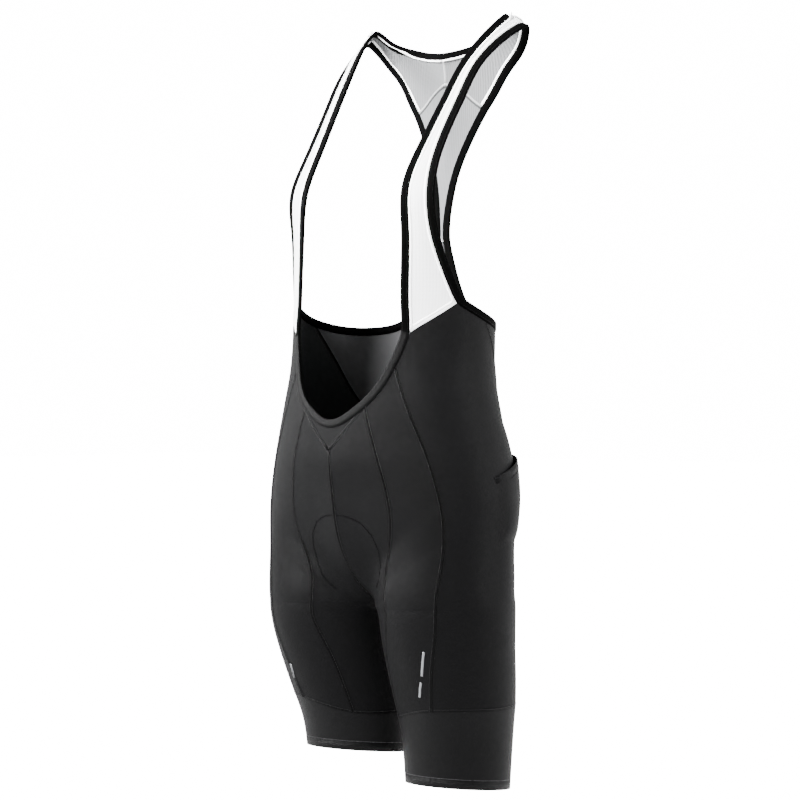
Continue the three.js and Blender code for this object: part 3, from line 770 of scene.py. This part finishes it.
def lay_bar(name, path, closed, profile, finish):
    """Bends a flat grid along a path. The profile is a closed loop of (across, height) in metres."""
    rings = len(path) + (1 if closed else 0)
    shape = bmesh.new()
    bmesh.ops.create_grid(shape, x_segments=rings - 1, y_segments=len(profile), size=1)
    spots = {v: (round(v.co.x, GRID_DIGITS), round(v.co.y, GRID_DIGITS)) for v in shape.verts}
    columns = sorted({x for x, _ in spots.values()})
    rows = sorted({y for _, y in spots.values()})
    index = {v: (columns.index(x), rows.index(y)) for v, (x, y) in spots.items()}
    uv = shape.loops.layers.uv.new("cloth")
    run, station = [0.0], []
    for i in range(rings):
        here, outward = path[i % len(path)]
        ahead = path[(i + 1) % len(path)][0] if closed or i + 1 < len(path) else here
        behind = path[(i - 1) % len(path)][0] if closed or i > 0 else here
        along = (ahead - behind).normalized()
        station.append((here, outward, outward.cross(along).normalized()))
        if i:
            run.append(run[-1] + (here - station[-2][0]).length)
    around = [0.0]
    for a, b in zip(profile, profile[1:] + profile[:1]):
        around.append(around[-1] + math.dist(a, b))
    for face in shape.faces:
        face.smooth = True
        for loop in face.loops:
            i, j = index[loop.vert]
            loop[uv].uv = (around[j], run[i])
    for vertex, (i, j) in index.items():
        here, outward, across = station[i]
        sideways, height = profile[j % len(profile)]
        vertex.co = here + across * sideways + outward * height
    bmesh.ops.remove_doubles(shape, verts=shape.verts, dist=BAR_MERGE)
    bmesh.ops.holes_fill(shape, edges=[e for e in shape.edges if e.is_boundary], sides=0)
    bmesh.ops.recalc_face_normals(shape, faces=shape.faces)
    return new_piece(name, shape, finish)


# %% Profiles of bars
SEAM_HALF = 0.0013
EDGE_PROUD = 0.00005
THREADS_AT = 0.62    # where the two raised rows lie, as a share of the half width
BETWEEN_THREADS = 0.8


def seam_profile(proud):
    """A flat seam with two raised rows of thread, on both faces of the cloth."""
    top = [(-SEAM_HALF, EDGE_PROUD), (-THREADS_AT * SEAM_HALF, proud), (0, BETWEEN_THREADS * proud),
           (THREADS_AT * SEAM_HALF, proud), (SEAM_HALF, EDGE_PROUD)]
    return top + [(x, -WALL - h) for x, h in reversed(top)]


def band_profile(low, high, proud):
    """A flat band from low to high across the path, on both faces of the cloth."""
    return [(low, 0), (low, proud), (high, proud), (high, 0),
            (high, -WALL), (high, -WALL - proud), (low, -WALL - proud), (low, -WALL)]


# %% [markdown]
# ## Stitches
# Thread is modelled as short bars, one for each stitch, laid along a line and a little off it.
# A straight row holds the tape, and a zigzag row, which stretches, holds the seat pad.


# %% Stitch helper
THREAD_SHARE = 0.72  # how much of the pitch shows as thread


def stitch_row(name, path, closed, finish,
               offset=0.0, pitch=0.003, thick=0.0004, zigzag=0.0, lift=0.0):
    """A row of stitches beside a path, each a short bar, which lean in turn where it is a zigzag."""
    shape = bmesh.new()
    last = len(path)
    gone, due, flip = 0.0, 0.0, 1
    for i in range(last if closed else last - 1):
        here, outward = path[i]
        ahead = path[(i + 1) % last][0]
        span = (ahead - here).length
        along = (ahead - here).normalized()
        across = outward.cross(along).normalized()
        while due <= gone + span:
            place = here + along * (due - gone) + across * offset + outward * lift
            slant = (along + across * (flip * zigzag / pitch)).normalized()
            side = outward.cross(slant).normalized()
            length = THREAD_SHARE * math.hypot(pitch, zigzag)
            grid = Matrix((side * thick, slant * length, outward * thick)).transposed().to_4x4()
            bmesh.ops.create_cube(shape, size=1, matrix=Matrix.Translation(place) @ grid)
            due += pitch
            flip = -flip
        gone += span
    print(name, len(shape.faces) // 6, "stitches")
    new_piece(name, shape, finish)


# %% Seams
SEAM_PROUD = 0.0004
SEAM_STEP = 0.006
SEAM_STITCH = 0.0019
SEAM_LIFT = 0.0003
STITCH_PITCH = 0.0030
STITCH_LIFT = 0.0002
THICK_THREAD = 0.0005
SEAMS = [("front_insert", ["front_centre_left"]), ("front_insert", ["front_centre_right"]),
         ("front_centre_left", ["front_centre_right"]), ("side_back_left", ["side_back_right"])]
for side in ("left", "right"):
    centre, flank, rear = "front_centre_" + side, "front_side_" + side, "side_back_" + side
    SEAMS += [(flank, [centre]), (flank, [rear]), (centre, [rear]), (rear, ["back_centre"]),
              ("leg_cuff_" + side, [centre, flank, rear])]
for node, others in SEAMS:
    line, closed = meeting_line(node, others)
    path, length = even_line(line, closed, SEAM_STEP)
    title = "seam_" + node + "_" + others[-1]
    lay_bar(title, path, closed, seam_profile(SEAM_PROUD), seam_thread)
    stitch_row("stitches_" + title, path, closed, thread_soft,
               offset=SEAM_STITCH, pitch=STITCH_PITCH, thick=THICK_THREAD, lift=SEAM_LIFT)
    print("seam", node, others, "points", len(path), "length", round(length, 3), "closed", closed)

# %% Seams of the mesh
MESH_REACH = 0.004
MESH_STEP = 0.004
MESH_PROUD = 0.0003
SEAM_SHADOW = (0.001, 0.0036)
SEAM_SHADOW_PROUD = 0.0002
MESH_SEAMS = [("back_yoke_left", ["back_yoke_right"]), ("back_column", ["back_centre"])]
for side in ("left", "right"):
    MESH_SEAMS += [("front_strap_" + side, ["side_back_" + side]),
                   ("front_strap_" + side, ["back_yoke_" + side]), ("back_yoke_" + side, ["back_column"])]
for node, others in MESH_SEAMS:
    line, closed = meeting_line(node, others, reach=MESH_REACH)
    path, length = even_line(line, closed, MESH_STEP)
    if others == ["back_column"]:
        way = towards_piece(path, "back_column", MESH_REACH)
        band = band_profile(way * SEAM_SHADOW[0], way * SEAM_SHADOW[1], SEAM_SHADOW_PROUD)
        # Painted shadow: a dark band on the inside, on the column's side of the seam.
        shade = lay_bar("painted_seam_shadow_" + node, path, closed, band, seam_shadow_look)
        two_faced(shade.data, strap_mesh, seam_shadow_look)
    title = "seam_" + node + "_" + others[-1]
    seam = lay_bar(title, path, closed, seam_profile(MESH_PROUD), mesh_seam_shaded)
    # The seam is white outside and painted a shaded grey inside.
    two_faced(seam.data, strap_mesh, mesh_seam_shaded)
    print("seam", node, others, "points", len(path), "length", round(length, 3), "closed", closed)

# %% [markdown]
# ## Binding tapes
# A soft elastic tape is folded over the raw edge of the neckline and of each armhole, and held by
# two rows of stitches. Each tape follows the edge that it binds, and laps over it on both faces.
# The neckline tape is black on the straps and body coloured on the black panels.

# %% Tapes
TAPE_LAP = 0.0016
TAPE_WIDTH = 0.0080
TAPE_PROUD = 0.0008
TAPE_REACH = 0.0025
TAPE_STEP = 0.005
TAPE_PITCH = 0.0032
TAPE_ROWS = {"near": 0.0008, "far": 0.0062}
NECK_BAND_TOP = -0.366  # below this the neckline's tape has the panels' colour
NECK_BAND_FACES = 0.2
TAPE_SEWN_TO = {"neck_binding": ["front_insert"]}
for side in ("left", "right"):
    TAPE_SEWN_TO["neck_binding"] += ["front_side_" + side, "side_back_" + side, "front_strap_" + side,
                                     "back_yoke_" + side]
    TAPE_SEWN_TO["arm_binding_" + side] = ["front_strap_" + side, "back_yoke_" + side, "back_column",
                                           "back_centre", "side_back_" + side]


def tape_profile(way):
    """The folded tape, a little fuller between its edges, which lie on the cloth."""
    top = [(-TAPE_LAP, 0.00008), (-0.8 * TAPE_LAP, TAPE_PROUD), (0.3 * TAPE_WIDTH, 1.25 * TAPE_PROUD),
           (0.7 * TAPE_WIDTH, 1.25 * TAPE_PROUD), (0.95 * TAPE_WIDTH, TAPE_PROUD), (TAPE_WIDTH, -0.0003)]
    return [(way * x, h) for x, h in top + [(x, -WALL - h) for x, h in reversed(top)]]


for node, others in TAPE_SEWN_TO.items():
    line, closed = meeting_line(node, others, reach=TAPE_REACH)
    path, length = even_line(line, closed, TAPE_STEP)
    way = towards_piece(path, node, TAPE_WIDTH)
    tape = lay_bar(node + "_cloth", path, closed, tape_profile(way), binding_tape)
    tape.data.materials.append(neck_band)
    for face in tape.data.polygons:
        low_neck = node == "neck_binding" and face.center.z < NECK_BAND_TOP
        if low_neck and faces_out(face.center, face.normal, NECK_BAND_FACES):
            face.material_index = 1
    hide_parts(node)
    for row, inset in TAPE_ROWS.items():
        stitch_row("stitches_" + node + "_" + row, path, closed, thread_black,
                   offset=way * inset, pitch=TAPE_PITCH, lift=TAPE_PROUD)

# %% [markdown]
# ## Edge bands of the mesh
# The mesh is turned in along its edges, which shows as a whiter band beside the tape. The band
# also glows a little, which is painted brightness.

# %% Edge bands
BAND = (0.0014, 0.0044)  # from the mesh's edge to the band's two edges
BAND_PROUD = 0.00025
for side in ("left", "right"):
    tapes = ["neck_binding", "arm_binding_" + side]
    for node, edges in (("front_strap_" + side, tapes + ["side_back_" + side]),
                        ("back_yoke_" + side, tapes)):
        for edge in edges:
            line, closed = meeting_line(node, [edge], reach=TAPE_REACH)
            path, length = even_line(line, closed, SEAM_STEP)
            way = towards_piece(path, edge, TAPE_WIDTH)
            band = band_profile(-way * BAND[0], -way * BAND[1], BAND_PROUD)
            lay_bar("edge_band_" + node + "_" + edge, path, closed, band, white_edge_glowing)
            print("edge band", node, edge, round(length, 3))

# %% [markdown]
# ## Hem bands
# Inside each cuff's edge runs a grip band. Outside it shows as an edge painted darker, as shade,
# with a line of stitches above it painted light grey, as a highlight along the edge. It is a bar
# like the seams, but wider, folded over the edge.

# %% Hems
HEM_BAND = 0.0095
HEM_LAP = 0.0006  # how far the band is folded past the cuff's edge
HEM_PROUD = 0.0004
HEM_PITCH = 0.0026
STITCH_CLEAR = 0.0008  # from a band's edge to its stitches
for side in ("left", "right"):
    cuff = "leg_cuff_" + side
    neighbours = ["front_centre_" + side, "front_side_" + side, "side_back_" + side]
    line, closed = meeting_line(cuff, neighbours, away=True)
    path, length = even_line(line, closed, SEAM_STEP)
    way = upward(path)
    low, high = -HEM_LAP * way, HEM_BAND * way
    folded = [(low, -WALL / 2), (low, HEM_PROUD), (high, HEM_PROUD),
              (high, -WALL - HEM_PROUD), (low, -WALL - HEM_PROUD)]
    # Painted shade: the band along the cuff's edge is darker.
    lay_bar("hem_band_" + side, path, closed, folded, hem_band_shaded)
    # Painted highlight: the stitches above the band are light grey.
    stitch_row("stitches_hem_" + side, path, closed, thread_grey_highlight,
               offset=way * (HEM_BAND + STITCH_CLEAR), pitch=HEM_PITCH, thick=THICK_THREAD,
               lift=STITCH_LIFT)
    print("hem", side, "round", round(length, 3), "m")

# %% [markdown]
# ## Details that lie on the panels
# Some details are found by looking from outside straight onto the dressed panels: the zigzag
# that holds the seat pad, the pocket's dividing stitches and the reflective bars.

# %% Finding the surface
RAY_START = 0.4
RAY_LENGTH = 0.5


def surface_of(nodes):
    """A tree of the faces of some dressed pieces."""
    shape = bmesh.new()
    for node in nodes:
        shape.from_mesh(dressed[node].data)
    tree = BVHTree.FromBMesh(shape)
    shape.free()
    return tree


def seen_straight(tree, x, level, view, middle=0.0):
    """The place of the cloth and its direction, seen from behind (view 1) or from in front (-1)."""
    start = Vector((x, view * RAY_START + middle, level))
    place, direction, _, _ = tree.ray_cast(start, Vector((0, -view, 0)), RAY_LENGTH)
    return [(place, direction)] if place else []


outside = surface_of(PANELS + CUFFS)
under_pocket = surface_of([node for node in PANELS if node != "back_pocket"])

# %% Pad outline
PAD_OUTLINE = [(0.000, -0.568), (0.018, -0.570), (0.033, -0.577), (0.044, -0.590), (0.048, -0.606),
               (0.047, -0.624), (0.042, -0.640), (0.030, -0.654)]
PAD_POINTS = 4
PAD_PITCH = 0.0024
PAD_ZIGZAG = 0.0018
for view, name in ((-1, "front"), (1, "back")):
    half = [Vector((x, 0, z)) for x, z in PAD_OUTLINE]
    whole = [Vector((-v.x, 0, v.z)) for v in reversed(half[1:])] + half
    found = []
    for a, b in zip(whole, whole[1:]):
        for k in range(PAD_POINTS):
            spot = a.lerp(b, k / PAD_POINTS)
            found += seen_straight(under_pocket, spot.x, spot.z, view, TRUNK_MIDDLE)
    stitch_row("stitches_pad_" + name, found, False, thread_black,
               pitch=PAD_PITCH, thick=THICK_THREAD, zigzag=PAD_ZIGZAG, lift=STITCH_LIFT)

# %% Pocket mouth
MOUTH_STEEPEST = 0.45  # past this the rim has turned down into the sewn side edge
MOUTH_LEAST = 8
MOUTH_ELASTIC = 0.0085
MOUTH_PROUD = 0.0003
MOUTH_LAP = 0.0002
MOUTH_SUNK = 0.0004
mouth_points, mouth_beside = rim_points(dressed["back_pocket"].data)
above = {key: spot for key, spot in mouth_points.items() if spot[0].z > POCKET_MOUTH_LOW}
keys, _ = longest_run(above, mouth_beside)
path, length = even_line([above[key] for key in keys], False, SEAM_STEP)
for _ in range(2):
    while len(path) > MOUTH_LEAST and abs((path[1][0] - path[0][0]).normalized().z) > MOUTH_STEEPEST:
        path.pop(0)
    path.reverse()
way = -upward(path)
edge_profile = [(-MOUTH_LAP * way, -WALL / 2), (0, MOUTH_PROUD),
                (MOUTH_ELASTIC * way, MOUTH_PROUD), (MOUTH_ELASTIC * way, -MOUTH_SUNK)]
lay_bar("pocket_mouth_elastic", path, False, edge_profile, stretch_knit)
stitch_row("stitches_pocket_mouth", path, False, thread_black,
           offset=way * (MOUTH_ELASTIC + STITCH_CLEAR), pitch=STITCH_PITCH, lift=STITCH_LIFT)
print("pocket mouth", round(length, 3), "m, from", [round(v, 3) for v in path[0][0]])

# %% Pocket dividers
DIVIDER_X = 0.052
DIVIDER_TOP = -0.505
DIVIDER_FOOT = -0.592
DIVIDER_POINTS = 30
DIVIDER_ROW = 0.0016
for side, name in ((1, "left"), (-1, "right")):
    found = []
    for k in range(DIVIDER_POINTS):
        level = DIVIDER_TOP + (DIVIDER_FOOT - DIVIDER_TOP) * k / (DIVIDER_POINTS - 1)
        found += seen_straight(outside, side * DIVIDER_X, level, 1)
    for row, offset in (("in", -DIVIDER_ROW), ("out", DIVIDER_ROW)):
        stitch_row("stitches_divider_" + name + "_" + row, found, False, thread_black,
                   offset=offset, pitch=STITCH_PITCH, lift=STITCH_LIFT)

# %% Reflective bars
BEAD_SCALE = 1800
BEAD_STRENGTH = 0.25
BEAD_RELIEF = 0.0001
reflective, film_tree, film = new_look("reflective film")
beads = add_node(film_tree, "ShaderNodeTexVoronoi")
beads.inputs["Scale"].default_value = BEAD_SCALE
bead_bump = add_node(film_tree, "ShaderNodeBump")
set_inputs(film_tree, bead_bump, {"Height": beads.outputs["Distance"], "Strength": BEAD_STRENGTH,
                                  "Distance": BEAD_RELIEF})
set_inputs(film_tree, film, {"Base Color": (0.13, 0.133, 0.14, 1), "Roughness": 0.35,
                             "Metallic": 0.4, "Normal": bead_bump.outputs[0]})
FILM = 0.0003
FILM_EDGE = 0.00002
FILM_FLAT = 0.9  # how much of the width is flat
BARS = {
    # side, angle about the leg in degrees and level at the top, the same at the bottom, half width
    "reflective_bar_left": (1, 17, -0.719, 12, -0.751, 0.0014),
    "reflective_bar_left_low": (1, 10, -0.760, 5, -0.780, 0.0014),
    "reflective_bar_right": (-1, 17, -0.752, 18, -0.772, 0.0020),
}
BAR_STEPS = 4
BAR_STEP = 0.002
LEG_MIDDLE = -0.080
LEG_CLEAR = 0.095  # from the leg's axis to just outside its cloth


def on_leg(side, degrees, level):
    """The place on a leg's outside at an angle from straight ahead, and its direction."""
    angle = math.radians(degrees)
    out = Vector((side * math.sin(angle), -math.cos(angle), 0))
    beside_leg = Vector((side * LEG_AXIS, LEG_MIDDLE, level)) + LEG_CLEAR * out
    place, direction, _, _ = outside.find_nearest(beside_leg)
    return place, direction


for name, (side, top_angle, top, low_angle, low, half) in BARS.items():
    shares = [k / BAR_STEPS for k in range(BAR_STEPS + 1)]
    spots = [on_leg(side, top_angle + t * (low_angle - top_angle), top + t * (low - top)) for t in shares]
    path, length = even_line(spots, False, BAR_STEP)
    film_profile = [(-half, FILM_EDGE), (-half * FILM_FLAT, FILM),
                    (half * FILM_FLAT, FILM), (half, FILM_EDGE)]
    lay_bar(name, path, False, film_profile, reflective)
    print(name, "length", round(length, 4))
